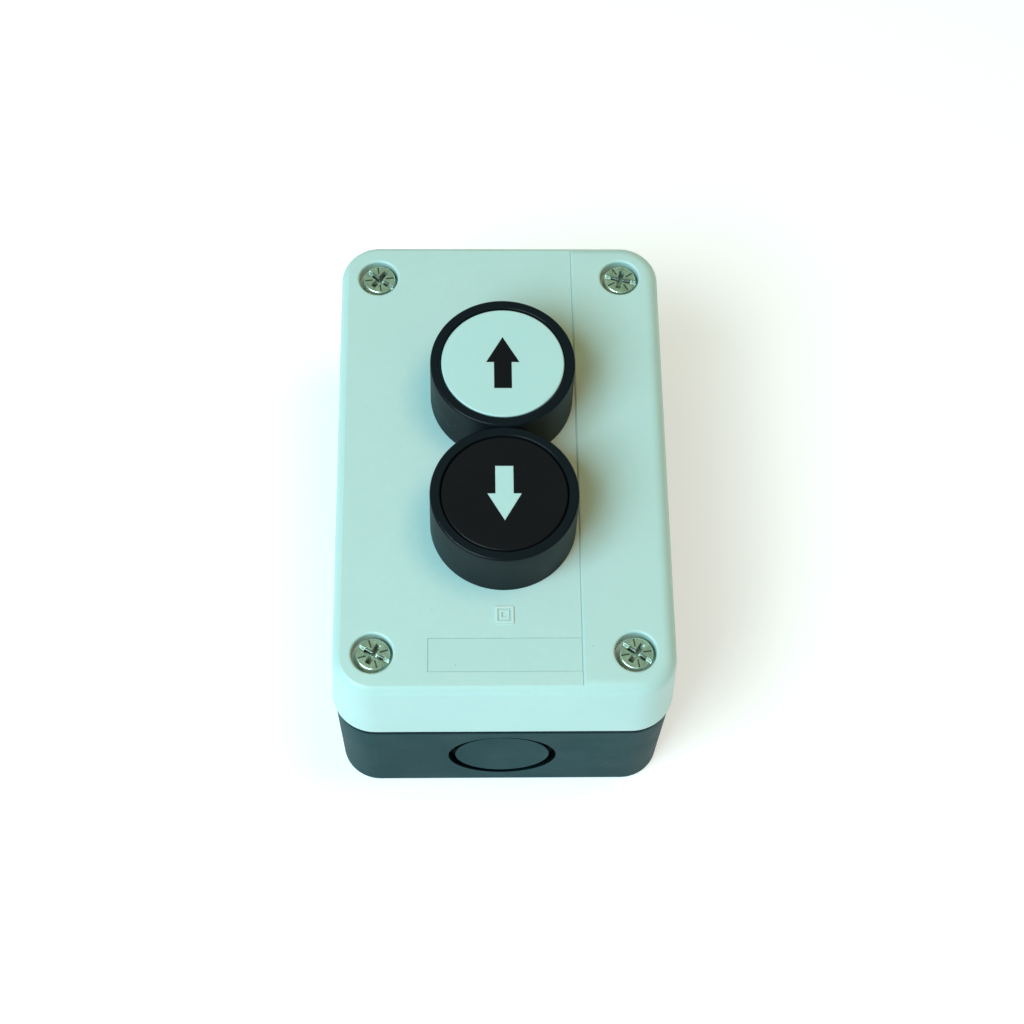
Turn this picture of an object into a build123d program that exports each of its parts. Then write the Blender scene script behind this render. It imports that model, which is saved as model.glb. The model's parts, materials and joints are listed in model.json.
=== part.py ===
from build123d import *
import os
from math import atan, cos, degrees, radians, sin

# A two-button pendant control station. It lies on its back: the back face is at Z = 0, the buttons
# point along +Z, and +Y is the end that the upper button is nearest. All sizes are in millimetres.

# Enclosure: driving dimensions
WIDTH = 70.0
LENGTH = 106.0
BOX_HEIGHT = 52.0  # back face to the highest part of the cover
SEAM_Z = 32.4  # lower edge of the cover
CORNER_R = 9.0
COVER_DRAFT = 1.0  # how much each side of the cover leans in from seam to top
BASE_DRAFT = 0.6
BASE_SET_BACK = 0.35  # the base's rim stands this far inside the cover's outline
RIM_GAP = 0.2  # shadow gap between rim and cover
WALL = 2.4
FLOOR_TOP = 2.9
COVER_TOP_THICKNESS = 2.6
COVER_EDGE_R = 2.8

# Lower field of the cover's face, which carries the buttons
FIELD_DROP = 0.3
FIELD_EDGE_X = 15.4
FIELD_Z = BOX_HEIGHT - FIELD_DROP

# Blank nameplate in its pocket, and the raised mark between it and the buttons
PLATE_SIZE = (30.5, 7.1)
PLATE_PLACE = (0.05, -44.05)
PLATE_POCKET = 0.3
MARK_Y = -35.6
MARK_FRAMES = [(3.7, 0.5), (2.0, 0.45)]  # size and line width of each square

# Feet moulded under the corners of the base
FOOT_HEIGHT = 0.5
FOOT_INNER_X = 19.3
FOOT_INNER_Y = 33.0

# Cover screws
SCREW_X = 26.0
SCREW_Y = 43.6
SCREW_HEAD_R = 3.4
SCREW_HEAD_HEIGHT = 2.25
SCREW_SLOT_WIDTH = 0.95
SCREW_SLOT_DEPTH = 0.9
SCREW_CROSS_REACH = 2.3
SCREW_CROSS_WIDTH = 1.15
SCREW_CROSS_DEPTH = 1.8
SCREW_SHANK_R = 1.95
SCREW_LENGTH = 30.0
COUNTERBORE_R = 4.15
COUNTERBORE_SHIFT_X = -0.2  # the cover sits this far off the screws' axes, inside its holes' clearance
COUNTERBORE_Z = 48.9
COUNTERBORE_RIM_R = 0.5
PILOT_DEPTH = 16.0
BASE_BOSS_R = 4.6
WASHER_R = 3.5
WASHER_THICKNESS = 1.0
COVER_BOSS_R = 5.6
SCREW_PLACES = [(-1, 1, -38.0), (1, 1, -14.0), (-1, -1, -29.0), (1, -1, -36.0)]  # side, end, slot angle

# Wall fixing holes
FIXING_X = 14.0
FIXING_Y = 44.0
FIXING_R = 2.25
FIXING_PAD_HEIGHT = 1.3

# Cable knockouts in both ends
KNOCKOUT_Z = 16.2
KNOCKOUT_R = 9.9
KNOCKOUT_GROOVE_R = 11.3
KNOCKOUT_GROOVE_DEPTH = 1.95
KNOCKOUT_SET_BACK = 0.25
KNOCKOUT_EDGE_R = 0.2

# Seal between cover and base
TONGUE_THICKNESS = 1.1
TONGUE_TOP = 34.4
REBATE_TOP = 36.0
SEAL_FIT = 0.15

# Push button heads, each on its own axis
BUTTON_PITCH = 29.76
BUTTON_MIDDLE_Y = -0.43
UP_Y = BUTTON_MIDDLE_Y + BUTTON_PITCH / 2
DOWN_Y = BUTTON_MIDDLE_Y - BUTTON_PITCH / 2
BEZEL_TOP_Z = 65.6
BEZEL_TOP_R = 14.82
BEZEL_BASE_R = 14.86
BEZEL_BORE_R = 12.8
BEZEL_SHELF_Z = 54.8
SLEEVE_R = 10.9
SLEEVE_BORE_R = 9.4
SLEEVE_END_Z = 38.0
SLEEVE_FLOOR_Z = 40.2
PANEL_HOLE_R = 11.15
KEY_WIDTH = 2.8
KEY_REACH = 11.9
HEAD_SEAL_OUTER_R = 14.0
HEAD_SEAL_INNER_R = 12.4
HEAD_SEAL_THICKNESS = 0.9
NUT_TOP = BOX_HEIGHT - COVER_TOP_THICKNESS
NUT_HEIGHT = 3.6
NUT_R = 14.2
TRAVEL = 4.0  # how far a button goes in

CAP_R = 12.56
CAP_TOP_Z = 65.4
CAP_THICKNESS = 2.2
ARROW_DEPTH = 0.8
ARROW_LENGTH = 12.0
ARROW_HEAD_LENGTH = 5.9
ARROW_HEAD_WIDTH = 6.8
ARROW_SHAFT_WIDTH = 3.6
CAP_WALL = 1.3
SOCKET_R = 3.5
SOCKET_WALL = 1.5
SOCKET_END_Z = 57.4

PLUNGER_R = 3.9
PLUNGER_END_Z = 38.2
PLUNGER_FLANGE_Z = 55.2
PLUNGER_FLANGE_R = 8.9
PLUNGER_FLANGE_THICKNESS = 2.0

# Springs: middle radius of the coil, wire radius and number of turns
RETURN_COIL = (6.4, 0.45, 6)
BRIDGE_COIL = (2.5, 0.25, 4)
PUSHER_COIL = (2.95, 0.25, 5)

# Contact block: heights are measured from its own lower face
BLOCK_Z = 12.2
BLOCK_HALF_X = 17.0
BLOCK_HALF_Y = 5.5
BLOCK_HEIGHT = 21.3
BLOCK_TOP_WALL = 2.0
BLOCK_FLOOR = 2.6
BLOCK_COVER = 1.4
STRIP_Z = 6.4
STRIP_THICKNESS = 1.0
TIP_HEIGHT = 0.8
TIP_R = 1.4
TIP_X = 6.0
CONTACT_GAP = 2.65
BRIDGE_Z = STRIP_Z + STRIP_THICKNESS + 2 * TIP_HEIGHT + CONTACT_GAP
BRIDGE_THICKNESS = 0.8
PUSHER_END_Z = 4.8
PUSHER_STEM_R = 1.25
PUSHER_COLLAR_R = 3.4
PUSHER_COLLAR_THICKNESS = 0.8
PUSHER_FLANGE_Z = 17.6
PUSHER_FLANGE_R = 3.7
PUSHER_FLANGE_THICKNESS = 1.4
PUSHER_HEAD_R = 2.4
PUSHER_TOP = 25.9
TERMINAL_X = 12.8
TERMINAL_HEAD_R = 2.8
TERMINAL_SHANK_R = 1.6
CLAMP_Z = 3.3
CLAMP_THICKNESS = 1.0

# Mounting collar between the sleeve and the contact block
COLLAR_TOP = 44.6
COLLAR_BOTTOM = BLOCK_Z + BLOCK_HEIGHT
COLLAR_SIZE = (37.0, 26.0)
COLLAR_SCREW_Z = 41.3
LEG_HALF_Y = 4.0
LEG_THICKNESS = 1.5
LEG_END_Z = 26.5
THREAD_GAP = 0.03  # running gap left where a thread is shown as a plain cylinder

PARTS_FOLDER = "parts"
ABOVE = (Align.CENTER, Align.CENTER, Align.MIN)  # a shape that stands on its given height


# ---- helpers ----


def rounded_block(half_x, half_y, corner, low, high, lean_in=0.0):
    """Upright block with round corners, whose sides lean in by lean_in on the way up."""
    outline = Plane.XY.offset(low) * RectangleRounded(2 * half_x, 2 * half_y, corner)
    return extrude(outline, high - low, taper=degrees(atan(lean_in / (high - low))))


def inset_block(inset, low, high, lean_in=0.0):
    """Rounded block whose lower outline lies inside the cover's outline by inset."""
    return rounded_block(
        WIDTH / 2 - inset, LENGTH / 2 - inset, CORNER_R - inset, low, high, lean_in
    )


def post(radius, low, high):
    """Upright cylinder from low to high."""
    return Pos(0, 0, low) * Cylinder(radius, high - low, align=ABOVE)


def slab(size_x, size_y, low, high):
    """Upright box from low to high, centred in X and Y."""
    return Pos(0, 0, low) * Box(size_x, size_y, high - low, align=ABOVE)


def turned(corners):
    """Solid turned about Z from (radius, height) corners."""
    outline = Polyline(*[(radius, 0, height) for radius, height in corners], close=True)
    return revolve(make_face(outline), Axis.Z)


def ring_edges(shape, radius, height):
    """The circular edges of that radius at that height."""
    return [
        edge
        for edge in shape.edges().filter_by(GeomType.CIRCLE)
        if abs(edge.radius - radius) < 0.02 and abs(edge.center().Z - height) < 0.02
    ]


def coil(low, high, sizes):
    """Helical compression spring between two heights."""
    radius, wire_r, turns = sizes
    height = high - low - 2 * wire_r
    path = Helix(pitch=height / turns, height=height, radius=radius)
    section = Plane(origin=path @ 0, z_dir=path % 0) * Circle(wire_r)
    return Pos(0, 0, low + wire_r) * sweep(section, path=path)


def at_screws(shape):
    """Copies of shape at the four cover screws."""
    return [Pos(side * SCREW_X, end * SCREW_Y, 0) * shape for side, end, _ in SCREW_PLACES]


def mirrored(shape):
    """A shape and its mirror image across the YZ plane."""
    return [shape, mirror(shape, Plane.YZ)]


def arrow_face(points_up):
    """Outline of a pointer arrow, centred on the origin."""
    tip = ARROW_LENGTH / 2
    wing = tip - ARROW_HEAD_LENGTH
    head, shaft = ARROW_HEAD_WIDTH / 2, ARROW_SHAFT_WIDTH / 2
    corners = [(0, tip), (head, wing), (shaft, wing), (shaft, -tip)]
    corners += [(-x, y) for x, y in reversed(corners[1:])]
    face = make_face(Polyline(*corners, close=True))
    return face if points_up else Rot(0, 0, 180) * face


# ---- enclosure ----


def knockout_wall_y():
    """How far out the base's end wall stands at the middle of a knockout."""
    return LENGTH / 2 - BASE_SET_BACK - BASE_DRAFT * (1 - KNOCKOUT_Z / SEAM_Z)


def knockout_cut(end):
    """Ring groove round a cable knockout, and the shallow set-back of its disc."""
    wall_y = knockout_wall_y()
    outside = 2.0
    reach = KNOCKOUT_GROOVE_DEPTH + outside
    groove = Cylinder(KNOCKOUT_GROOVE_R, reach) - Cylinder(KNOCKOUT_R, reach)
    disc = Cylinder(KNOCKOUT_R, KNOCKOUT_SET_BACK + outside)
    groove = Pos(0, end * (wall_y + outside - reach / 2), KNOCKOUT_Z) * Rot(90, 0, 0) * groove
    disc_y = end * (wall_y + outside - (KNOCKOUT_SET_BACK + outside) / 2)
    return groove + Pos(0, disc_y, KNOCKOUT_Z) * Rot(90, 0, 0) * disc


def boss_ribs(low, high, thickness=1.6):
    """Gussets that tie a corner boss to the two walls beside it, for the +X +Y corner."""
    reach = WALL + BASE_BOSS_R
    across = Pos(SCREW_X + reach / 2, SCREW_Y, 0) * slab(reach, thickness, low, high)
    along = Pos(SCREW_X, SCREW_Y + reach / 2, 0) * slab(thickness, reach, low, high)
    return across + along


def at_corners(shape):
    """A +X +Y corner feature repeated in all four corners."""
    both = shape + mirror(shape, Plane.YZ)
    return both + mirror(both, Plane.XZ)


def make_base():
    """Dark lower shell with corner bosses, fixing holes, feet and cable knockouts."""
    rim = SEAM_Z - RIM_GAP
    inset = BASE_SET_BACK + BASE_DRAFT
    shell = inset_block(inset, 0, rim, -BASE_DRAFT)
    shell = fillet(shell.faces().sort_by(Axis.Z)[0].edges(), 1.0)
    inside = inset_block(inset + WALL, FLOOR_TOP, rim, -BASE_DRAFT * (1 - FLOOR_TOP / rim))
    envelope = shell
    shell -= inside
    tongue_inner = BASE_SET_BACK + WALL
    shell += inset_block(tongue_inner - TONGUE_THICKNESS, rim, TONGUE_TOP) - inset_block(
        tongue_inner, rim, TONGUE_TOP
    )
    bosses = at_corners(
        Pos(SCREW_X, SCREW_Y, 0) * post(BASE_BOSS_R, FLOOR_TOP, rim)
        + boss_ribs(FLOOR_TOP, rim - 4)
    )
    shell += bosses & envelope
    for x in (-FIXING_X, FIXING_X):
        for y in (-FIXING_Y, FIXING_Y):
            shell += Pos(x, y, 0) * post(2 * FIXING_R, FLOOR_TOP, FLOOR_TOP + FIXING_PAD_HEIGHT)
            shell -= Pos(x, y, 0) * post(FIXING_R, -1, FLOOR_TOP + FIXING_PAD_HEIGHT + 1)
    for pilot in at_screws(post(SCREW_SHANK_R + THREAD_GAP, rim - PILOT_DEPTH, rim + 1)):
        shell -= pilot
    shell -= slab(2 * FOOT_INNER_X, 2 * LENGTH, -1, FOOT_HEIGHT)
    shell -= slab(2 * WIDTH, 2 * FOOT_INNER_Y, -1, FOOT_HEIGHT)
    for end in (-1, 1):
        shell -= knockout_cut(end)
    disc_y = knockout_wall_y() - KNOCKOUT_SET_BACK
    disc_edges = [
        edge
        for edge in shell.edges().filter_by(GeomType.CIRCLE)
        if abs(edge.radius - KNOCKOUT_R) < 0.02 and abs(abs(edge.center().Y) - disc_y) < 0.02
    ]
    return fillet(disc_edges, KNOCKOUT_EDGE_R)


def double_square():
    """Raised mark of two concentric square frames."""
    top = FIELD_Z + 0.8 * FIELD_DROP
    frames = []
    for size, line in MARK_FRAMES:
        hollow = size - 2 * line
        frames.append(slab(size, size, FIELD_Z - 0.1, top) - slab(hollow, hollow, FIELD_Z - 1, top + 1))
    return frames


def field_cut():
    """What lowers the cover's face left of FIELD_EDGE_X, with a fine groove along the step."""
    groove, far = 0.1, WIDTH
    edge_round = 0.3
    corners = [
        (-far, FIELD_Z),
        (FIELD_EDGE_X - groove, FIELD_Z),
        (FIELD_EDGE_X - groove, FIELD_Z - groove),
        (FIELD_EDGE_X, FIELD_Z - groove),
        (FIELD_EDGE_X, BOX_HEIGHT - edge_round),
        (FIELD_EDGE_X + edge_round, BOX_HEIGHT),
        (FIELD_EDGE_X + edge_round, BOX_HEIGHT + 1),
        (-far, BOX_HEIGHT + 1),
    ]
    outline = make_face(Polyline(*[(x, 0, z) for x, z in corners], close=True))
    return extrude(outline, LENGTH, dir=(0, 1, 0), both=True)


def make_cover():
    """Pale upper shell with the two panel holes, counterbores, nameplate pocket and raised mark."""
    shell = inset_block(0, SEAM_Z, BOX_HEIGHT, COVER_DRAFT)
    shell = fillet(shell.faces().sort_by(Axis.Z)[-1].edges(), COVER_EDGE_R)
    envelope = shell
    ceiling = BOX_HEIGHT - COVER_TOP_THICKNESS
    lean = COVER_DRAFT * (ceiling - SEAM_Z) / (BOX_HEIGHT - SEAM_Z)
    shell -= inset_block(BASE_SET_BACK + WALL - 0.1, SEAM_Z, ceiling, lean)
    tongue_outer = BASE_SET_BACK + WALL - TONGUE_THICKNESS
    shell -= inset_block(tongue_outer - SEAL_FIT, SEAM_Z - 1, REBATE_TOP)
    clear_of_tongue = inset_block(BASE_SET_BACK + WALL + SEAL_FIT, SEAM_Z - 1, BOX_HEIGHT)
    bosses = at_corners(
        Pos(SCREW_X, SCREW_Y, 0) * post(COVER_BOSS_R, REBATE_TOP, ceiling + 0.5)
        + Pos(SCREW_X, SCREW_Y, 0) * post(BASE_BOSS_R, SEAM_Z, REBATE_TOP)
        + boss_ribs(REBATE_TOP, ceiling + 0.5)
    )
    shell += bosses & envelope & (clear_of_tongue + inset_block(0, REBATE_TOP, BOX_HEIGHT))
    shell -= field_cut()
    shell += [Pos(0, MARK_Y, 0) * frame for frame in double_square()]
    for hole in at_screws(post(SCREW_SHANK_R + 0.3, SEAM_Z - 1, BOX_HEIGHT)):
        shell -= hole
    counterbore = Pos(COUNTERBORE_SHIFT_X, 0, 0) * post(COUNTERBORE_R, COUNTERBORE_Z, BOX_HEIGHT + 1)
    for cut in at_screws(counterbore):
        shell -= cut
    for seat in at_screws(post(WASHER_R + 0.1, SEAM_Z - 1, SEAM_Z - RIM_GAP + WASHER_THICKNESS)):
        shell -= seat
    rims = ring_edges(shell, COUNTERBORE_R, FIELD_Z) + ring_edges(shell, COUNTERBORE_R, BOX_HEIGHT)
    shell = fillet(rims, COUNTERBORE_RIM_R)
    for y in (UP_Y, DOWN_Y):
        hole = post(PANEL_HOLE_R, ceiling - 1, BOX_HEIGHT + 1)
        notch_reach = KEY_REACH + 0.3
        notch = Pos(0, notch_reach / 2, 0) * slab(
            KEY_WIDTH + 0.4, notch_reach, ceiling - 1, BOX_HEIGHT + 1
        )
        shell -= Pos(0, y, 0) * (hole + notch)
    pocket = slab(*PLATE_SIZE, FIELD_Z - PLATE_POCKET, BOX_HEIGHT + 1)
    return shell - Pos(*PLATE_PLACE, 0) * pocket


def make_nameplate():
    """Blank plate that lies in its pocket just below the face."""
    gap = 0.05
    thickness = 0.24
    low = FIELD_Z - PLATE_POCKET
    plate = slab(PLATE_SIZE[0] - 2 * gap, PLATE_SIZE[1] - 2 * gap, low, low + thickness)
    return Pos(*PLATE_PLACE, 0) * plate


def make_cover_gasket():
    """Rubber ring that the base's tongue presses against the ledge inside the cover."""
    outer = BASE_SET_BACK + WALL - TONGUE_THICKNESS
    ring = inset_block(outer, TONGUE_TOP, REBATE_TOP)
    return ring - inset_block(outer + TONGUE_THICKNESS - 0.05, TONGUE_TOP, REBATE_TOP)


def driver_recess(top, reach, width, depth):
    """Cross recess that narrows on the way down."""
    cross = Rectangle(2 * reach, width) + Rectangle(width, 2 * reach)
    return extrude(Plane.XY.offset(top) * cross, depth, dir=(0, 0, -1), taper=9)


def make_cover_screw():
    """Pan head screw with a cross recess, a full slot along X and four fine marks between."""
    low, high = COUNTERBORE_Z, COUNTERBORE_Z + SCREW_HEAD_HEIGHT
    head = fillet(ring_edges(post(SCREW_HEAD_R, low, high), SCREW_HEAD_R, high), 0.4)
    head -= driver_recess(high, SCREW_CROSS_REACH, SCREW_CROSS_WIDTH, SCREW_CROSS_DEPTH)
    head -= slab(2 * SCREW_HEAD_R + 1, SCREW_SLOT_WIDTH, high - SCREW_SLOT_DEPTH, high + 1)
    mark = Pos(2.25, 0, 0) * slab(1.7, 0.32, high - 0.35, high + 1)
    for quarter in range(4):
        head -= Rot(0, 0, 45 + 90 * quarter) * mark
    tip = low - SCREW_LENGTH
    shank = turned([(0, tip), (1.0, tip), (SCREW_SHANK_R, tip + 2), (SCREW_SHANK_R, low), (0, low)])
    return head + shank


def make_cover_screws():
    """The four cover screws, each turned to its own slot angle."""
    screw = make_cover_screw()
    return [
        Pos(side * SCREW_X, end * SCREW_Y, 0) * Rot(0, 0, angle) * screw
        for side, end, angle in SCREW_PLACES
    ]


def make_retaining_washers():
    """Rubber washers that keep the screws captive in the cover."""
    low = SEAM_Z - RIM_GAP
    high = low + WASHER_THICKNESS
    hole = post(SCREW_SHANK_R + THREAD_GAP, low - 1, high + 1)
    return at_screws(post(WASHER_R, low, high) - hole)


# ---- push button head, on the Z axis ----


def make_bezel():
    """Head moulding: raised ring, key, and the sleeve that passes through the panel."""
    body = turned(
        [
            (BEZEL_BASE_R, FIELD_Z),
            (BEZEL_TOP_R, BEZEL_TOP_Z),
            (BEZEL_BORE_R, BEZEL_TOP_Z),
            (BEZEL_BORE_R, BEZEL_SHELF_Z),
            (SLEEVE_BORE_R, BEZEL_SHELF_Z),
            (SLEEVE_BORE_R, SLEEVE_FLOOR_Z),
            (PLUNGER_R + 0.3, SLEEVE_FLOOR_Z),
            (PLUNGER_R + 0.3, SLEEVE_END_Z),
            (SLEEVE_R, SLEEVE_END_Z),
            (SLEEVE_R, FIELD_Z),
        ]
    )
    body = fillet(ring_edges(body, BEZEL_TOP_R, BEZEL_TOP_Z), 0.55)
    body = fillet(ring_edges(body, BEZEL_BORE_R, BEZEL_TOP_Z), 0.3)
    groove = post(HEAD_SEAL_OUTER_R + 0.1, FIELD_Z, FIELD_Z + HEAD_SEAL_THICKNESS) - post(
        HEAD_SEAL_INNER_R - 0.1, FIELD_Z, FIELD_Z + HEAD_SEAL_THICKNESS
    )
    key = Pos(0, KEY_REACH / 2 + 4.8, 0) * slab(KEY_WIDTH, KEY_REACH - 9.6, 50.0, FIELD_Z)
    return body - groove + key


def make_head_seal():
    """Rubber ring in the groove under the bezel."""
    top = FIELD_Z + HEAD_SEAL_THICKNESS
    return post(HEAD_SEAL_OUTER_R, FIELD_Z, top) - post(HEAD_SEAL_INNER_R, FIELD_Z - 1, top + 1)


def make_ring_nut():
    """Notched nut on the sleeve, which pulls the bezel down on the panel."""
    low = NUT_TOP - NUT_HEIGHT
    nut = post(NUT_R, low, NUT_TOP) - post(SLEEVE_R + THREAD_GAP, low - 1, NUT_TOP + 1)
    notches = 8
    for n in range(notches):
        notch = Pos(NUT_R, 0, 0) * slab(2.2, 3.0, low - 1, NUT_TOP + 1)
        nut -= Rot(0, 0, 360 / notches * (n + 0.5)) * notch
    return nut


def make_collar():
    """Mounting collar: clamps on the sleeve and carries the contact block between two legs."""
    body = extrude(
        Plane.XY.offset(COLLAR_BOTTOM) * RectangleRounded(*COLLAR_SIZE, 3.0),
        COLLAR_TOP - COLLAR_BOTTOM,
    )
    body -= post(SLEEVE_R + THREAD_GAP, COLLAR_BOTTOM - 1, COLLAR_TOP + 1)
    body -= Rot(0, 90, 0) * Pos(-COLLAR_SCREW_Z, 0, 0) * post(1.55, 10, 20)
    leg_low = BLOCK_HALF_X + 0.05
    leg = Pos(leg_low + LEG_THICKNESS / 2, 0, 0) * slab(
        LEG_THICKNESS, 2 * LEG_HALF_Y, LEG_END_Z, COLLAR_BOTTOM
    )
    hook = Pos(leg_low, 0, 0) * slab(0.8, 2 * LEG_HALF_Y - 1, LEG_END_Z + 0.8, LEG_END_Z + 1.8)
    for half in mirrored(leg + hook):
        body += half
    return body


def make_collar_screw():
    """Set screw along +X that locks the collar on the sleeve."""
    start, head_at, end = SLEEVE_R + 0.02, 18.55, 20.4
    shank = Rot(0, 90, 0) * post(1.5, start, head_at)
    head = Rot(0, 90, 0) * post(2.6, head_at, end)
    slot = Pos(end, 0, 0) * Box(1.2, 6, 0.7)
    return Pos(0, 0, COLLAR_SCREW_Z) * (shank + head - slot)


def make_cap(points_up):
    """Button cap: a shallow cup with a socket for the plunger and a pocket for the arrow."""
    under = CAP_TOP_Z - CAP_THICKNESS
    skirt_end = BEZEL_SHELF_Z + TRAVEL + 0.3
    cap = turned(
        [
            (0, CAP_TOP_Z),
            (CAP_R, CAP_TOP_Z),
            (CAP_R, skirt_end),
            (CAP_R - CAP_WALL, skirt_end),
            (CAP_R - CAP_WALL, under),
            (SOCKET_R + SOCKET_WALL, under),
            (SOCKET_R + SOCKET_WALL, SOCKET_END_Z),
            (SOCKET_R, SOCKET_END_Z),
            (SOCKET_R, under),
            (0, under),
        ]
    )
    cap = fillet(ring_edges(cap, CAP_R, CAP_TOP_Z), 0.35)
    return cap - extrude(
        Plane.XY.offset(CAP_TOP_Z - ARROW_DEPTH) * arrow_face(points_up), ARROW_DEPTH + 1
    )


def make_arrow(points_up):
    """Second-shot arrow, flush with the cap's face."""
    return extrude(Plane.XY.offset(CAP_TOP_Z - ARROW_DEPTH) * arrow_face(points_up), ARROW_DEPTH)


def make_plunger():
    """Stem under the cap, with the flange that the return spring pushes on."""
    flange_top = PLUNGER_FLANGE_Z + PLUNGER_FLANGE_THICKNESS
    spigot_top = CAP_TOP_Z - CAP_THICKNESS - 0.1
    return turned(
        [
            (0, PLUNGER_END_Z),
            (PLUNGER_R - 0.5, PLUNGER_END_Z),
            (PLUNGER_R, PLUNGER_END_Z + 0.5),
            (PLUNGER_R, PLUNGER_FLANGE_Z),
            (PLUNGER_FLANGE_R, PLUNGER_FLANGE_Z),
            (PLUNGER_FLANGE_R, flange_top),
            (SOCKET_R - 0.05, flange_top),
            (SOCKET_R - 0.05, spigot_top),
            (0, spigot_top),
        ]
    )


def make_return_spring():
    """Spring between the sleeve's floor and the plunger's flange."""
    return coil(SLEEVE_FLOOR_Z, PLUNGER_FLANGE_Z, RETURN_COIL)


# ---- contact block, on the Z axis with its lower face at Z = 0 ----


def make_contact_housing():
    """Moulded housing, open towards +Y, with a contact chamber and two terminal pockets."""
    back = -BLOCK_HALF_Y + 1.4
    depth = BLOCK_HALF_Y - back
    ceiling = BLOCK_HEIGHT - BLOCK_TOP_WALL
    body = slab(2 * BLOCK_HALF_X, 2 * BLOCK_HALF_Y, 0, BLOCK_HEIGHT)
    body = fillet(body.edges().filter_by(Axis.Z), 0.6)
    chamber_half_x = 8.6
    body -= Pos(0, back + depth / 2, 0) * slab(2 * chamber_half_x, depth, BLOCK_FLOOR, ceiling)
    body += post(2.3, BLOCK_FLOOR, 5.0)
    body -= post(PUSHER_STEM_R + 0.2, 0.6, 6.0)
    body -= post(PUSHER_HEAD_R + 0.25, ceiling - 1, BLOCK_HEIGHT + 1)
    pocket_low_x, pocket_high_x = 9.6, BLOCK_HALF_X - 1.0
    pocket_x = (pocket_low_x + pocket_high_x) / 2
    pocket = slab(pocket_high_x - pocket_low_x, depth, 0.8, 11.0)
    cut = Pos(pocket_x, back + depth / 2, 0) * pocket
    strip_slot = slab(4.0, depth, STRIP_Z, STRIP_Z + STRIP_THICKNESS)
    cut += Pos(pocket_low_x - 1, back + depth / 2, 0) * strip_slot
    cut += Pos(TERMINAL_X, 0, 0) * post(TERMINAL_HEAD_R + 0.2, -1, 2)
    cut += Pos(BLOCK_HALF_X, 0, 0) * slab(4.0, 5.0, CLAMP_Z, STRIP_Z)
    hook_low = LEG_END_Z - BLOCK_Z + 0.7
    cut += Pos(BLOCK_HALF_X, 0, 0) * slab(0.9, 2 * LEG_HALF_Y - 0.8, hook_low, hook_low + 1.2)
    for half in mirrored(cut):
        body -= half
    return body


def make_contact_cover():
    """Flat plate that closes the housing's open side."""
    plate = slab(2 * BLOCK_HALF_X - 0.6, BLOCK_COVER, 0.4, BLOCK_HEIGHT - 0.4)
    return Pos(0, BLOCK_HALF_Y + BLOCK_COVER / 2, 0) * plate


def make_fixed_contacts():
    """Two brass strips, each with a contact tip at one end and a tapped hole at the other."""
    low_x, high_x = 4.7, 15.8
    top = STRIP_Z + STRIP_THICKNESS
    strip = Pos((low_x + high_x) / 2, 0.7, 0) * slab(high_x - low_x, 5.6, STRIP_Z, top)
    strip += Pos(TIP_X + 0.15, 0, 0) * post(TIP_R, top, top + TIP_HEIGHT)
    strip -= Pos(TERMINAL_X, 0, 0) * post(TERMINAL_SHANK_R + 0.02, STRIP_Z - 1, top + 1)
    return mirrored(strip)


def make_terminal_screws():
    """Two terminal screws, driven from the block's lower face."""
    head_low, head_high = 0.9, 3.2
    screw = post(TERMINAL_HEAD_R, head_low, head_high) + post(TERMINAL_SHANK_R, head_high, 9.5)
    screw -= Box(8, 0.8, 2.0).moved(Pos(0, 0, head_low))
    screw -= Box(0.8, 4.0, 2.4).moved(Pos(0, 0, head_low))
    return mirrored(Pos(TERMINAL_X, 0, 0) * screw)


def make_clamp_plates():
    """Two square wire clamps under the terminal strips."""
    low, high = CLAMP_Z, CLAMP_Z + CLAMP_THICKNESS
    plate = slab(5.8, 6.0, low, high) - post(TERMINAL_SHANK_R + 0.15, low - 1, high + 1)
    return mirrored(Pos(TERMINAL_X, 0, 0) * plate)


def make_pusher():
    """Contact block plunger with its spring flange, stem and the collar that lifts the bridge."""
    collar_low = BRIDGE_Z - PUSHER_COLLAR_THICKNESS
    flange_top = PUSHER_FLANGE_Z + PUSHER_FLANGE_THICKNESS
    return turned(
        [
            (0, PUSHER_END_Z),
            (PUSHER_STEM_R, PUSHER_END_Z),
            (PUSHER_STEM_R, collar_low),
            (PUSHER_COLLAR_R, collar_low),
            (PUSHER_COLLAR_R, BRIDGE_Z),
            (PUSHER_STEM_R, BRIDGE_Z),
            (PUSHER_STEM_R, PUSHER_FLANGE_Z),
            (PUSHER_FLANGE_R, PUSHER_FLANGE_Z),
            (PUSHER_FLANGE_R, flange_top),
            (PUSHER_HEAD_R, flange_top),
            (PUSHER_HEAD_R, PUSHER_TOP - 0.4),
            (PUSHER_HEAD_R - 0.4, PUSHER_TOP),
            (0, PUSHER_TOP),
        ]
    )


def make_bridge():
    """Moving contact bar with a tip under each end."""
    top = BRIDGE_Z + BRIDGE_THICKNESS
    bar = slab(15.4, 4.4, BRIDGE_Z + 0.02, top)
    for tip in mirrored(Pos(TIP_X + 0.15, 0, 0) * post(TIP_R, BRIDGE_Z - TIP_HEIGHT, BRIDGE_Z + 0.2)):
        bar += tip
    return bar - post(PUSHER_STEM_R + 0.2, BRIDGE_Z - 2, top + 1)


def make_bridge_spring():
    """Spring that presses the bridge on the pusher's collar."""
    return coil(BRIDGE_Z + BRIDGE_THICKNESS, PUSHER_FLANGE_Z, BRIDGE_COIL)


def make_pusher_spring():
    """Spring that lifts the pusher again."""
    return coil(BLOCK_FLOOR, BRIDGE_Z - PUSHER_COLLAR_THICKNESS, PUSHER_COIL)


# ---- assembly ----


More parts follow.
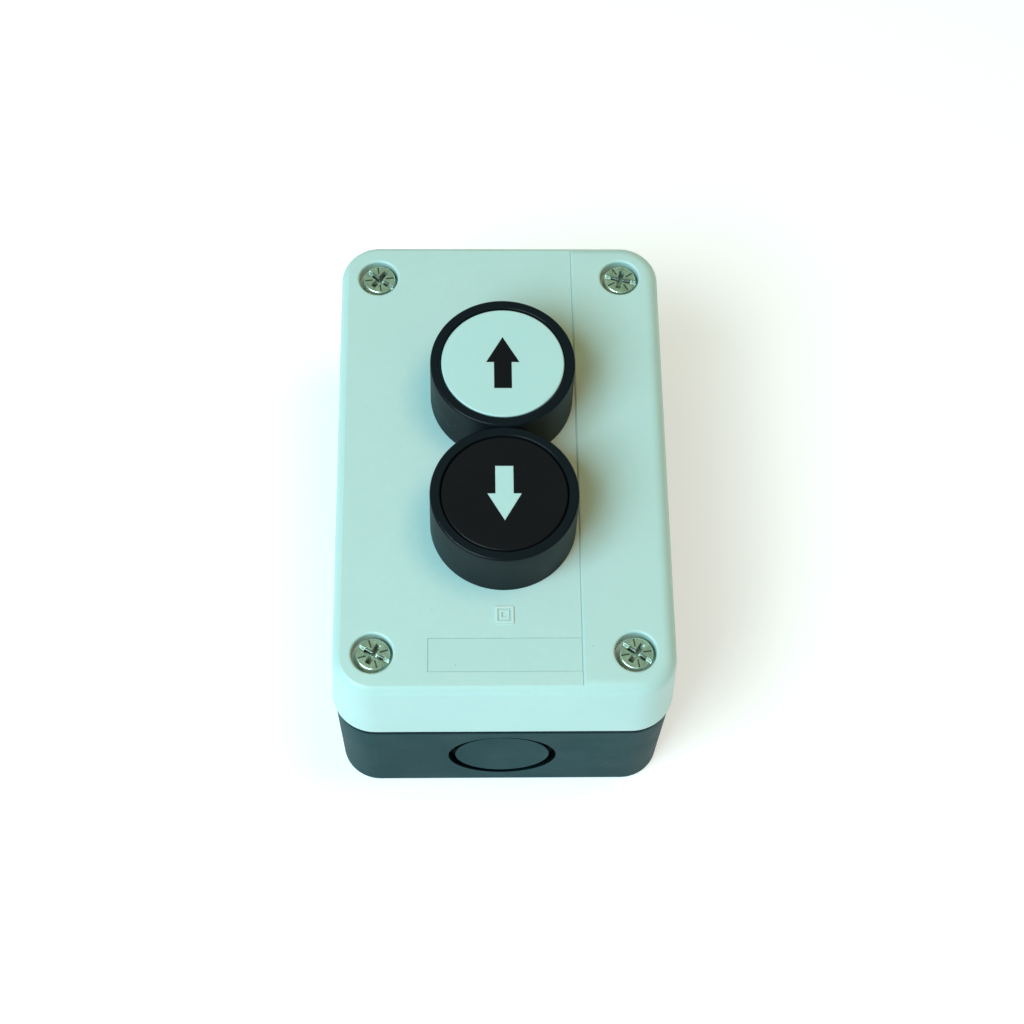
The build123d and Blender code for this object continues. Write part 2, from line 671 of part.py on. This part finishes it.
def station_parts():
    """Every sub-part by node name, in place. A value is one solid or a list of solids."""
    made = {
        "base": make_base(),
        "cover": make_cover(),
        "cover_gasket": make_cover_gasket(),
        "cover_screws": make_cover_screws(),
        "screw_washers": make_retaining_washers(),
        "nameplate": make_nameplate(),
    }
    for name, y, points_up in (("up", UP_Y, True), ("down", DOWN_Y, False)):
        head = {
            "bezel": make_bezel(),
            "head_seal": make_head_seal(),
            "ring_nut": make_ring_nut(),
            "mounting_collar": make_collar(),
            "collar_screw": make_collar_screw(),
            "button_cap": make_cap(points_up),
            "arrow": make_arrow(points_up),
            "plunger": make_plunger(),
            "return_spring": make_return_spring(),
        }
        block = {
            "contact_housing": make_contact_housing(),
            "contact_cover": make_contact_cover(),
            "fixed_contacts": make_fixed_contacts(),
            "terminal_screws": make_terminal_screws(),
            "wire_clamps": make_clamp_plates(),
            "contact_pusher": make_pusher(),
            "contact_bridge": make_bridge(),
            "bridge_spring": make_bridge_spring(),
            "pusher_spring": make_pusher_spring(),
        }
        for group, height in ((head, 0), (block, BLOCK_Z)):
            for part, shape in group.items():
                solids = shape if isinstance(shape, list) else [shape]
                made[f"{name}_{part}"] = [Pos(0, y, height) * solid for solid in solids]
    return made


def write_parts():
    """Writes one STEP file for each node."""
    os.makedirs(PARTS_FOLDER, exist_ok=True)
    for name, shape in station_parts().items():
        pieces = shape if isinstance(shape, list) else [shape]
        solids = [solid for piece in pieces for solid in piece.solids()]
        whole = solids[0] if len(solids) == 1 else Compound(solids)
        export_step(whole, os.path.join(PARTS_FOLDER, name + ".step"))


write_parts()
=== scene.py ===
import json
import math

import bpy
from mathutils import Matrix, Vector

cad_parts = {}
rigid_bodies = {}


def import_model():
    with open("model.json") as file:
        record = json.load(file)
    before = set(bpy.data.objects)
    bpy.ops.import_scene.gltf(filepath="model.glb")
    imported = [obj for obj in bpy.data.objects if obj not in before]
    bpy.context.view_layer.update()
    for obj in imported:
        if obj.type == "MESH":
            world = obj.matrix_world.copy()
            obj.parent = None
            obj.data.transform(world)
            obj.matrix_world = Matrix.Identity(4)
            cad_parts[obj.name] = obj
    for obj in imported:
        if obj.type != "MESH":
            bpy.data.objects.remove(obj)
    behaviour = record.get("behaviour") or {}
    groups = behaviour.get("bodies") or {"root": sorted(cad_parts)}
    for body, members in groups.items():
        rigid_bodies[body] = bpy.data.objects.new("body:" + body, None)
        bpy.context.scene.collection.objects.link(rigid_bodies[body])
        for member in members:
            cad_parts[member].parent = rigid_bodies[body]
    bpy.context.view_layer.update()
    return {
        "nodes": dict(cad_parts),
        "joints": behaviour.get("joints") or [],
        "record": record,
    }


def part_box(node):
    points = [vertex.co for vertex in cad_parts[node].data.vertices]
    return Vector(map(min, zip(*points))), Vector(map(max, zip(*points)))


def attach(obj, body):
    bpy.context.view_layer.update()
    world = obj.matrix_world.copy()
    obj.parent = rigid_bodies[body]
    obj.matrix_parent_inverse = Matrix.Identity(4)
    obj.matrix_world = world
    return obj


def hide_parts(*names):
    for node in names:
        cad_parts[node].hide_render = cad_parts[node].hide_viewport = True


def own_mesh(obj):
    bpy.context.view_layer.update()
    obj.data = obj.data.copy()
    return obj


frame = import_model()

MM = 0.001

# Camera: the point it looks at, from how far and from where, and how far it is rolled
AIM = Vector((1.8, -12.9, 52.0)) * MM
CAMERA_DISTANCE = 413.3 * MM
CAMERA_AZIMUTH = math.radians(-3.5)
CAMERA_ELEVATION = math.radians(63.66)
CAMERA_ROLL = math.radians(3.02)
LENS_MM = 71.4
SENSOR_MM = 36.0
CLIP_START = 0.01

# Studio: the lights' places and sizes in metres, their power in watts, and their colours
LIGHT_AIM = (0, 0, 0.04)
KEY_LIGHT = {"place": (-0.46, -0.42, 0.78), "size": 0.60, "watts": 10.6, "color": (0.68, 0.90, 1.0)}
WARM_LIGHT = {"place": (0.24, 0.02, 0.88), "size": 0.35, "watts": 2.75, "color": (1.0, 0.50, 0.30)}
WORLD_COLOR = (0.52, 1.0, 0.46)
WORLD_STRENGTH = 0.20
FLOOR_HALF_SIDE = 30.0
FLOOR_COLOR = (0.76, 0.73, 0.73)
FLOOR_ROUGHNESS = 0.7
FLOOR_GLOW_COLOR = (0.80, 0.95, 1.0)
FLOOR_GLOW = 0.50

# Colours, linear
COVER_COLOR = (0.487, 0.716, 0.722)
# Cover's paler edges, from rubbing and painted highlight; also the painted highlight on the mark's tops
COVER_EDGE_WEAR_AND_HIGHLIGHT = (0.60, 0.82, 0.80)
BASE_COLOR = (0.0015, 0.046, 0.056)
BEZEL_COLOR = (0.0063, 0.0104, 0.0142)
BLACK_COLOR = (0.0075, 0.0077, 0.0102)
WHITE_COLOR = (0.462, 0.72, 0.745)
PLATE_COLOR = (0.468, 0.702, 0.708)
SCREW_COLOR = (0.80, 0.96, 0.84)
CASTING_COLOR = (0.52, 0.53, 0.53)
RUBBER_COLOR = (0.012, 0.012, 0.013)
ACETAL_COLOR = (0.70, 0.68, 0.62)
BLOCK_COLOR = (0.030, 0.12, 0.065)
BRASS_COLOR = (0.62, 0.38, 0.12)
SPRING_COLOR = (0.45, 0.45, 0.47)
PALE_DUST = (0.30, 0.32, 0.32)
DARK_DUST = (0.12, 0.15, 0.14)
# Olive-brown painted shade on the walls of the screw bores
BORE_SHADE_COLOR = (0.32, 0.22, 0.060)
# Painted shade on the base just under the cover's rim
SEAM_SHADE_COLOR = (0.0002, 0.010, 0.018)
GAP_SHADE = 0.04  # colour of the painted shade in gaps, as a share of the material's own colour

# Boxes on the cover, millimetres: the screw bores on each side, which get painted shade, and the tops of the
# raised mark, which get a painted highlight
BORE_BOXES = [((-34, -52, 40), (-20, 52, 55)), ((20, -52, 40), (34, 52, 55))]
MARK_BOX = ((-2, -38, 51.8), (2, -33, 52.1))

# Sockets of the Mix node that carry colours
MIX_FIRST, MIX_SECOND, MIX_RESULT = 6, 7, 2

# Sizes of the plastics' detail, metres
DRIFT_SIZE = 0.030
MOTTLE_SIZE = 0.0016
# Patches and width of the paler edges, from rubbing and painted highlight
WEAR_AND_SHEEN_PATCH_SIZE = 0.004
WEAR_AND_SHEEN_WIDTH = 0.0003
DUST_SPACING = 0.0045
DUST_RADIUS = 0.00011
POLISH_PATCH_SIZE = 0.012
MOULD_GRAIN_SIZE = 0.00035
MOULD_ROUNDING = 0.00015

# Metals' detail: sizes in metres, shades of dull patches and the painted highlight on edges as shares
# of the colour, and how far the roughness goes below and above its given value
DULL_PATCH_SIZE = 0.0012
METAL_EDGE_WIDTH = 0.00012
DULL_SHADE = 0.74
EDGE_GLINT_SHARE = 1.2
METAL_ROUGHNESS_SPREAD = (-0.08, 0.12)

# Strengths of the plastics' detail, from 0 to 1
MOTTLE_SHARE = 0.5
DUST_SHARE = 0.6
# Strength of the painted shade in the screw bores
BORE_SHADE_SHARE = 0.8
# Strength of the painted highlight on the mark's tops
MARK_HIGHLIGHT_SHARE = 0.75
# Strength of the painted shade under the cover's rim
SEAM_SHADE_SHARE = 0.9
SEAM_ROUGHNESS = 0.45  # added to the roughness where the painted shade under the cover's rim is darkest
PLASTIC_ROUGHNESS_SPREAD = (-0.05, 0.06)
BORE_SHADE_CREVICE = (0.005, 0.80, 0.45)  # crevice()'s numbers for the painted shade on the walls of the screw bores

# Light in the plastics: refraction, and how far each colour scatters inside the pale ones
PLASTIC_IOR = 1.5
SCATTER_RADIUS = (0.6, 1.0, 1.0)
SCATTER_DEPTH = 0.0012  # metres

# Springs, by kind: how many turns, and the wire's diameter as a share of the outer diameter
SPRING_TURNS = {"return_spring": 6.5, "pusher_spring": 6.0, "bridge_spring": 5.0}
WIRE_SHARE = {"return_spring": 0.066, "pusher_spring": 0.078, "bridge_spring": 0.091}
WIRE_SIDES = 12
STEPS_PER_TURN = 40
END_TURN = 1.0  # turns at each end that lie closed
CLOSED_PITCH = 1.025  # of the wire's diameter


# ---- camera, light and floor ----


def place_camera():
    """Camera at its distance, azimuth, elevation and roll about the point it looks at."""
    back = Vector(
        (
            math.sin(CAMERA_AZIMUTH) * math.cos(CAMERA_ELEVATION),
            -math.cos(CAMERA_AZIMUTH) * math.cos(CAMERA_ELEVATION),
            math.sin(CAMERA_ELEVATION),
        )
    )
    data = bpy.data.cameras.new("camera")
    data.lens = LENS_MM
    data.sensor_width = SENSOR_MM
    data.clip_start = CLIP_START
    camera = bpy.data.objects.new("camera", data)
    turn = back.to_track_quat("Z", "Y").to_matrix().to_4x4()
    roll = Matrix.Rotation(CAMERA_ROLL, 4, "Z")
    camera.matrix_world = Matrix.Translation(AIM + back * CAMERA_DISTANCE) @ turn @ roll
    bpy.context.scene.collection.objects.link(camera)
    bpy.context.scene.camera = camera


def area_light(name, place, size, watts, color):
    """Square soft light that points at the middle of the station."""
    data = bpy.data.lights.new(name, "AREA")
    data.shape = "SQUARE"
    data.size = size
    data.energy = watts
    data.color = color
    lamp = bpy.data.objects.new(name, data)
    lamp.location = place
    lamp.rotation_euler = (Vector(place) - Vector(LIGHT_AIM)).to_track_quat("Z", "Y").to_euler()
    bpy.context.scene.collection.objects.link(lamp)
    return lamp


def light_studio():
    """Soft cool key from the left and front, and a smaller warm light from high on the right."""
    scene = bpy.context.scene
    world = bpy.data.worlds.new("studio")
    world.use_nodes = True
    background = world.node_tree.nodes["Background"]
    background.inputs["Color"].default_value = (*WORLD_COLOR, 1)
    background.inputs["Strength"].default_value = WORLD_STRENGTH
    scene.world = world
    scene.view_settings.view_transform = "Standard"
    area_light("key", **KEY_LIGHT)
    warm = area_light("warm", **WARM_LIGHT)
    warm.visible_glossy = False


def make_floor():
    """Plain pale floor, wide enough to fill low views. It glows, so that shadows on it stay pale."""
    half = FLOOR_HALF_SIDE
    mesh = bpy.data.meshes.new("floor")
    mesh.from_pydata([(-half, -half, 0), (half, -half, 0), (half, half, 0), (-half, half, 0)], [], [(0, 1, 2, 3)])
    floor = bpy.data.objects.new("floor", mesh)
    bpy.context.scene.collection.objects.link(floor)
    material = bpy.data.materials.new("floor_paint")
    material.use_nodes = True
    shader = material.node_tree.nodes["Principled BSDF"]
    shader.inputs["Base Color"].default_value = (*FLOOR_COLOR, 1)
    shader.inputs["Roughness"].default_value = FLOOR_ROUGHNESS
    shader.inputs["Emission Color"].default_value = (*FLOOR_GLOW_COLOR, 1)
    shader.inputs["Emission Strength"].default_value = FLOOR_GLOW
    mesh.materials.append(material)


# ---- materials ----


class Nodes:
    """Short calls for building one material's node tree."""

    def __init__(self, name):
        self.material = bpy.data.materials.new(name)
        self.material.use_nodes = True
        self.tree = self.material.node_tree
        self.shader = self.tree.nodes["Principled BSDF"]

    def add(self, kind, **settings):
        """New node of a kind, with its settings."""
        node = self.tree.nodes.new(kind)
        for key, value in settings.items():
            setattr(node, key, value)
        return node

    def link(self, source, target):
        self.tree.links.new(source, target)

    def coordinates(self, kind):
        """The three parts of the Object or Normal coordinates."""
        split = self.add("ShaderNodeSeparateXYZ")
        self.link(self.add("ShaderNodeTexCoord").outputs[kind], split.inputs["Vector"])
        return split.outputs

    def place(self, stretch=(1, 1, 1)):
        """Object coordinates, stretched along the axes."""
        mapping = self.add("ShaderNodeMapping")
        mapping.inputs["Scale"].default_value = stretch
        self.link(self.add("ShaderNodeTexCoord").outputs["Object"], mapping.inputs["Vector"])
        return mapping.outputs["Vector"]

    def noise(self, size, detail=2.0, stretch=(1, 1, 1)):
        """Noise whose blots are about size metres across."""
        noise = self.add("ShaderNodeTexNoise")
        noise.inputs["Scale"].default_value = 1.0 / size
        noise.inputs["Detail"].default_value = detail
        self.link(self.place(stretch), noise.inputs["Vector"])
        return noise.outputs["Fac"]

    def remap(self, value, low, high, to_low=0.0, to_high=1.0):
        """Linear map of a value from one range to another, clamped."""
        ramp = self.add("ShaderNodeMapRange")
        for socket, number in zip(("From Min", "From Max", "To Min", "To Max"), (low, high, to_low, to_high)):
            ramp.inputs[socket].default_value = number
        self.link(value, ramp.inputs["Value"])
        return ramp.outputs["Result"]

    def math(self, operation, first, second):
        """Result of a Math node on two sockets, or on a socket and a number."""
        node = self.add("ShaderNodeMath", operation=operation)
        for socket, value in zip(node.inputs, (first, second)):
            if isinstance(value, (int, float)):
                socket.default_value = value
            else:
                self.link(value, socket)
        return node.outputs["Value"]

    def times(self, first, second):
        return self.math("MULTIPLY", first, second)

    def blend(self, factor, first, second):
        """Colour that goes from first to second as factor goes from 0 to 1."""
        mix = self.add("ShaderNodeMix", data_type="RGBA")
        self.link(factor, mix.inputs["Factor"])
        for socket, value in zip((mix.inputs[MIX_FIRST], mix.inputs[MIX_SECOND]), (first, second)):
            if isinstance(value, tuple):
                socket.default_value = (*value, 1)
            else:
                self.link(value, socket)
        return mix.outputs[MIX_RESULT]

    def edges(self, radius):
        """1 on outer and inner edges within radius, and 0 on open faces."""
        bevel = self.add("ShaderNodeBevel", samples=4)
        bevel.inputs["Radius"].default_value = radius
        geometry = self.add("ShaderNodeNewGeometry")
        dot = self.add("ShaderNodeVectorMath", operation="DOT_PRODUCT")
        self.link(bevel.outputs["Normal"], dot.inputs[0])
        self.link(geometry.outputs["Normal"], dot.inputs[1])
        return self.remap(dot.outputs["Value"], 0.97, 0.80)

    def crevice(self, reach, open_at, dark_at):
        """1 deep in the piece's own gaps narrower than reach, and 0 in the open."""
        occlusion = self.add("ShaderNodeAmbientOcclusion", samples=8, only_local=True)
        occlusion.inputs["Distance"].default_value = reach
        return self.remap(occlusion.outputs["AO"], open_at, dark_at)

    def inside(self, low, high):
        """1 between two corners, given in millimetres, and 0 elsewhere."""
        result = 1.0
        for part, least, most in zip(self.coordinates("Object"), low, high):
            for operation, limit in (("GREATER_THAN", least), ("LESS_THAN", most)):
                result = self.times(self.math(operation, part, limit * MM), result)
        return result

    def walls(self):
        """1 on upright walls, and 0 on flat tops and roundings."""
        return self.remap(self.coordinates("Normal")["Z"], 0.45, 0.10)

    def slopes(self):
        """1 on roundings between flat tops and upright walls, and 0 on both of those."""
        upward = self.coordinates("Normal")["Z"]
        return self.times(self.remap(upward, 0.995, 0.95), self.remap(upward, 0.10, 0.35))

    def dust(self, spacing, radius):
        """1 on sparse round motes of that radius, in about a quarter of the cells of that spacing."""
        cells = self.add("ShaderNodeTexVoronoi")
        cells.inputs["Scale"].default_value = 1.0 / spacing
        self.link(self.place(), cells.inputs["Vector"])
        mote = self.remap(cells.outputs["Distance"], 1.4 * radius / spacing, 0.7 * radius / spacing)
        split = self.add("ShaderNodeSeparateColor")
        self.link(cells.outputs["Color"], split.inputs["Color"])
        return self.times(mote, self.math("GREATER_THAN", split.outputs["Red"], 0.72))

    def bump(self, height, distance, rounding):
        """Feeds the shader's normal from a height, on top of edges rounded by that radius, if any."""
        bump = self.add("ShaderNodeBump")
        bump.inputs["Distance"].default_value = distance
        self.link(height, bump.inputs["Height"])
        if rounding:
            bevel = self.add("ShaderNodeBevel", samples=4)
            bevel.inputs["Radius"].default_value = rounding
            self.link(bevel.outputs["Normal"], bump.inputs["Normal"])
        self.link(bump.outputs["Normal"], self.shader.inputs["Normal"])


def scaled(color, factor):
    """Colour made lighter or darker, with no channel over 1."""
    return tuple(min(1.0, channel * factor) for channel in color)


def moulded_plastic(
    name,
    color,
    roughness,
    depth=0.00001,
    wear_and_sheen=1.25,
    wear_and_sheen_color=None,
    drift=0.06,
    gloss=0.5,
    dust_color=PALE_DUST,
    crevice_shade=0.5,
    gap=(0.0012, 0.60, 0.30),
    polish=0.0,
    glow=0.0,
    bore_shade=None,
    seam=None,
):
    """Moulded plastic: slow colour drift, a fine even grain, motes of dust, painted shade in gaps, and edges
    paler from rubbing and painted highlight.

    depth: of the grain, metres. wear_and_sheen: how much paler an edge is, from rubbing and painted highlight,
    unless wear_and_sheen_color is given.
    drift: how far the colour wanders. crevice_shade: how dark the painted shade in the gaps is, and gap:
    crevice()'s numbers.
    polish: how much smoother the roundings are. glow: light scattered inside, from 0 to 1.
    bore_shade: colour of the painted shade on the walls of the screw bores. seam: heights in millimetres over
    the back between which the painted shade under the cover's rim sets in.
    """
    nodes = Nodes(name)
    slow = nodes.remap(nodes.noise(DRIFT_SIZE, detail=3), 0.3, 0.7)
    body = nodes.blend(slow, scaled(color, 1 - drift), scaled(color, 1 + drift))
    mottle = nodes.remap(nodes.noise(MOTTLE_SIZE), 0.35, 0.65, 0.0, MOTTLE_SHARE)
    body = nodes.blend(mottle, body, scaled(color, 1 - drift))
    # Edges paler in patches: rubbed wear and painted highlight
    patchy = nodes.remap(nodes.noise(WEAR_AND_SHEEN_PATCH_SIZE), 0.40, 0.62, 0.15, 0.7)
    worn_and_lit_edges = nodes.times(nodes.edges(WEAR_AND_SHEEN_WIDTH), patchy)
    body = nodes.blend(worn_and_lit_edges, body, wear_and_sheen_color or scaled(color, wear_and_sheen))
    body = nodes.blend(nodes.times(nodes.dust(DUST_SPACING, DUST_RADIUS), DUST_SHARE), body, dust_color)
    # Painted shade, olive-brown, on the walls of the screw bores
    if bore_shade:
        deep = nodes.times(nodes.walls(), nodes.crevice(*BORE_SHADE_CREVICE))
        for low, high in BORE_BOXES:
            where = nodes.times(nodes.inside(low, high), deep)
            body = nodes.blend(nodes.times(where, BORE_SHADE_SHARE), body, bore_shade)
        # Painted highlight on the tops of the raised mark
        body = nodes.blend(nodes.times(nodes.inside(*MARK_BOX), MARK_HIGHLIGHT_SHARE), body, wear_and_sheen_color)
    # Painted shade on the base just under the cover's rim, darkest at the top
    if seam:
        height = nodes.coordinates("Object")["Z"]
        under_cover = nodes.remap(height, seam[0] * MM, seam[1] * MM, 0.0, SEAM_SHADE_SHARE)
        body = nodes.blend(under_cover, body, SEAM_SHADE_COLOR)
    # Painted shade: darker in the piece's own gaps and hollows, where little light reaches
    gaps = nodes.times(nodes.crevice(*gap), crevice_shade)
    nodes.link(nodes.blend(gaps, body, scaled(color, GAP_SHADE)), nodes.shader.inputs["Base Color"])
    patches = nodes.noise(POLISH_PATCH_SIZE, detail=4)
    finish = nodes.remap(patches, 0.3, 0.7, *(roughness + change for change in PLASTIC_ROUGHNESS_SPREAD))
    if seam:
        finish = nodes.math("ADD", finish, nodes.times(under_cover, SEAM_ROUGHNESS))
    if polish:
        finish = nodes.math("SUBTRACT", finish, nodes.times(nodes.slopes(), polish))
    nodes.link(finish, nodes.shader.inputs["Roughness"])
    nodes.bump(nodes.noise(MOULD_GRAIN_SIZE), depth, MOULD_ROUNDING)
    nodes.shader.inputs["IOR"].default_value = PLASTIC_IOR
    nodes.shader.inputs["Specular IOR Level"].default_value = gloss
    if glow:
        nodes.shader.inputs["Subsurface Weight"].default_value = glow
        nodes.shader.inputs["Subsurface Radius"].default_value = SCATTER_RADIUS
        nodes.shader.inputs["Subsurface Scale"].default_value = SCATTER_DEPTH
    return nodes.material


def plated_metal(
    name,
    color,
    roughness,
    scratch=(1, 1, 1),
    metallic=1.0,
    gap=(0.001, 0.75, 0.35),
    crevice_shade=0.95,
    grain=0.00025,
    depth=0.00001,
    rounding=0.0001,
):
    """Plated or cast metal: fine marks, dull patches, painted shade in gaps and painted highlight on edges.

    scratch: how much narrower the marks are along each axis. grain: their size, and depth: how deep
    they are, metres. gap: crevice()'s numbers, and crevice_shade: how dark the painted shade in the gaps
    is. rounding: radius of the edges, metres.
    """
    nodes = Nodes(name)
    marks = nodes.noise(grain, detail=3, stretch=scratch)
    dull = nodes.remap(nodes.noise(DULL_PATCH_SIZE, detail=3), 0.35, 0.65)
    body = nodes.blend(dull, scaled(color, DULL_SHADE), color)
    # Painted highlight: edges made brighter, as glints where light catches them
    body = nodes.blend(nodes.edges(METAL_EDGE_WIDTH), body, scaled(color, EDGE_GLINT_SHARE))
    # Painted shade: darker in the metal's own gaps and recesses, such as the floors of the driver slots
    gaps = nodes.times(nodes.crevice(*gap), crevice_shade)
    nodes.link(nodes.blend(gaps, body, scaled(color, GAP_SHADE)), nodes.shader.inputs["Base Color"])
    finish = nodes.remap(marks, 0.3, 0.7, *(roughness + change for change in METAL_ROUGHNESS_SPREAD))
    nodes.link(finish, nodes.shader.inputs["Roughness"])
    nodes.shader.inputs["Metallic"].default_value = metallic
    nodes.bump(marks, depth, rounding)
    return nodes.material


# Material slot: how it is made, its colour and roughness, and what else is its own
MATERIALS = {
    "cover_plastic": (
        moulded_plastic,
        COVER_COLOR,
        0.36,
        {
            "depth": 0.000013,
            "wear_and_sheen_color": COVER_EDGE_WEAR_AND_HIGHLIGHT,
            "drift": 0.025,
            "dust_color": DARK_DUST,
            "crevice_shade": 0.12,
            "glow": 0.2,
            "bore_shade": BORE_SHADE_COLOR,
        },
    ),
    "white_plastic": (
        moulded_plastic,
        WHITE_COLOR,
        0.40,
        {"depth": 0.000008, "wear_and_sheen": 1.05, "drift": 0.02, "dust_color": DARK_DUST, "glow": 0.15},
    ),
    "nameplate_plastic": (
        moulded_plastic,
        PLATE_COLOR,
        0.30,
        {"depth": 0.000004, "wear_and_sheen": 1.05, "drift": 0.02, "dust_color": DARK_DUST, "crevice_shade": 0.05},
    ),
    "base_plastic": (
        moulded_plastic,
        BASE_COLOR,
        0.50,
        {
            "depth": 0.000022,
            "wear_and_sheen": 1.7,
            "drift": 0.14,
            "gloss": 0.07,
            "crevice_shade": 1.0,
            "gap": (0.003, 0.85, 0.55),
            "seam": (29.6, 30.7),
        },
    ),
    "bezel_plastic": (
        moulded_plastic,
        BEZEL_COLOR,
        0.46,
        {"depth": 0.000016, "wear_and_sheen": 1.8, "drift": 0.12, "gloss": 0.11, "crevice_shade": 0.9, "polish": 0.27},
    ),
    "black_plastic": (
        moulded_plastic,
        BLACK_COLOR,
        0.42,
        {"depth": 0.000012, "wear_and_sheen": 1.8, "drift": 0.12, "gloss": 0.14, "crevice_shade": 0.9, "polish": 0.12},
    ),
    "seal_rubber": (moulded_plastic, RUBBER_COLOR, 0.75, {"depth": 0.00002, "wear_and_sheen": 1.5, "drift": 0.15}),
    "inner_plastic": (moulded_plastic, ACETAL_COLOR, 0.35, {"wear_and_sheen": 1.05, "drift": 0.03, "glow": 0.1}),
    "block_plastic": (moulded_plastic, BLOCK_COLOR, 0.40, {"wear_and_sheen": 1.4, "drift": 0.08}),
    "zinc_screw": (
        plated_metal,
        SCREW_COLOR,
        0.26,
        {
            "metallic": 0.8,
            "gap": (0.001, 0.82, 0.42),
            "crevice_shade": 0.78,
            "grain": 0.0009,
            "depth": 0.000008,
            "rounding": None,
        },
    ),
    "zinc_casting": (plated_metal, CASTING_COLOR, 0.42, {}),
    "contact_brass": (plated_metal, BRASS_COLOR, 0.28, {"scratch": (8, 1, 1)}),
    "spring_steel": (plated_metal, SPRING_COLOR, 0.25, {}),
}


def paint_nodes():
    """Gives every CAD node the material of its slot, and returns the materials by slot."""
    made = {slot: make(slot, color, rough, **rest) for slot, (make, color, rough, rest) in MATERIALS.items()}
    for row in frame["record"]["subparts"]:
        mesh = frame["nodes"][row["node"]].data
        mesh.materials.clear()
        mesh.materials.append(made[row["material_slot"]])
    return made


# ---- springs ----


def coil_mesh(name, middle, outer_r, wire_r, low, high, turns):
    """Compression spring with a closed turn at each end, as a capped tube round a helix."""
    rise = CLOSED_PITCH * 2 * wire_r
    open_turns = turns - 2 * END_TURN
    open_rise = (high - low - 2 * wire_r - 2 * rise * END_TURN) / open_turns

    def height(turn):
        closed_low = min(turn, END_TURN) * rise
        middle_part = min(max(turn - END_TURN, 0.0), open_turns) * open_rise
        closed_high = max(turn - END_TURN - open_turns, 0.0) * rise
        return low + wire_r + closed_low + middle_part + closed_high

    radius = outer_r - wire_r
    steps = round(turns * STEPS_PER_TURN)
    points, faces = [], []
    for step in range(steps + 1):
        turn = step / STEPS_PER_TURN
        angle = 2 * math.pi * turn
        outward = Vector((math.cos(angle), math.sin(angle), 0))
        centre = Vector((middle.x, middle.y, height(turn))) + outward * radius
        for side in range(WIRE_SIDES):
            around = 2 * math.pi * side / WIRE_SIDES
            upward = Vector((0, 0, wire_r * math.sin(around)))
            points.append(centre + outward * wire_r * math.cos(around) + upward)
        if step:
            base = (step - 1) * WIRE_SIDES
            for side in range(WIRE_SIDES):
                after = (side + 1) % WIRE_SIDES
                faces.append((base + side, base + after, base + WIRE_SIDES + after, base + WIRE_SIDES + side))
    faces.append(tuple(range(WIRE_SIDES)))
    faces.append(tuple(reversed(range(steps * WIRE_SIDES, (steps + 1) * WIRE_SIDES))))
    mesh = bpy.data.meshes.new(name)
    mesh.from_pydata(points, [], faces)
    mesh.shade_smooth()
    return mesh


def make_springs(materials):
    """A wound spring in place of each spring node, fixed to its joint's parent body."""
    for joint in frame["joints"]:
        for row in joint.get("deforming_nodes", []):
            node = row["node"]
            kind = node.split("_", 1)[1]
            low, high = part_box(node)
            middle = (low + high) / 2
            outer_r = (high.x - low.x) / 2
            wire_r = outer_r * WIRE_SHARE[kind]
            mesh = coil_mesh(node + "_coil", middle, outer_r, wire_r, low.z, high.z, SPRING_TURNS[kind])
            mesh.materials.append(materials["spring_steel"])
            spring = bpy.data.objects.new(node + "_coil", mesh)
            bpy.context.scene.collection.objects.link(spring)
            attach(spring, joint["parent"])
            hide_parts(node)
            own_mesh(spring)


place_camera()
light_studio()
make_floor()
make_springs(paint_nodes())
